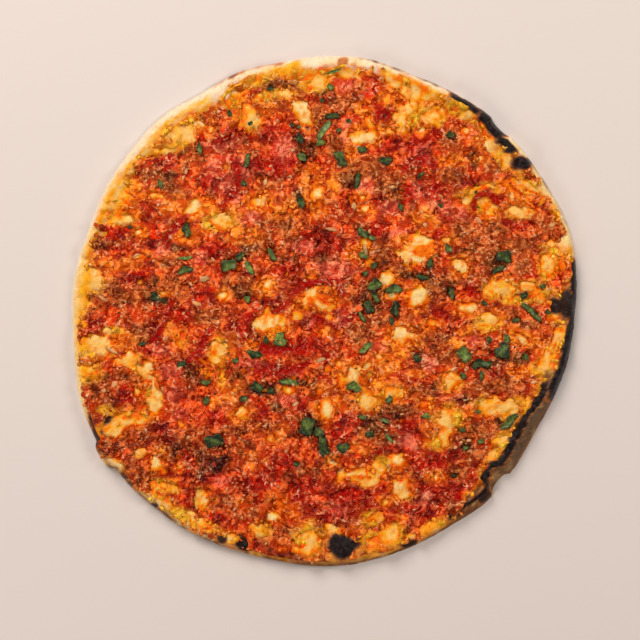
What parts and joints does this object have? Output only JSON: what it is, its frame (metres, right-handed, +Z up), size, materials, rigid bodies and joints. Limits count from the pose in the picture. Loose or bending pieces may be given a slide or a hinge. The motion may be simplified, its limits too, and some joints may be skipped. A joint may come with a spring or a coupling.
{
  "type": "lahmacun",
  "caption": "Round thin flatbread baked with a thin spread of spiced mince and tomato, bare dough blisters, a partly charred rim and torn parsley.",
  "frame": {"origin": "middle of the bread's footprint box, on the surface that it lies on", "axes": "+Z up out of the topping; the bread lies in the XY plane, with its char-raised rim towards +X and -Y"},
  "size_m": [0.303, 0.3068, 0.009],
  "materials": {
    "baked_dough": "matte baked crust, pale and floury with brown and black char at the rim",
    "mince": "moist, oily, granular",
    "parsley": "satin leaf"
  },
  "bodies": {
    "root": {"dough": "baked_dough", "meat_topping": "mince", "parsley_01": "parsley", "parsley_02": "parsley", "parsley_03": "parsley", "parsley_04": "parsley", "parsley_05": "parsley", "parsley_06": "parsley", "parsley_07": "parsley", "parsley_08": "parsley", "parsley_09": "parsley", "parsley_10": "parsley", "parsley_11": "parsley", "parsley_12": "parsley", "parsley_13": "parsley", "parsley_14": "parsley", "parsley_15": "parsley", "parsley_16": "parsley", "parsley_17": "parsley", "parsley_18": "parsley", "parsley_19": "parsley", "parsley_20": "parsley", "parsley_21": "parsley", "parsley_22": "parsley", "parsley_23": "parsley", "parsley_24": "parsley", "parsley_25": "parsley", "parsley_26": "parsley", "parsley_27": "parsley", "parsley_28": "parsley", "parsley_29": "parsley", "parsley_30": "parsley", "parsley_31": "parsley"}
  },
  "joints": []
}
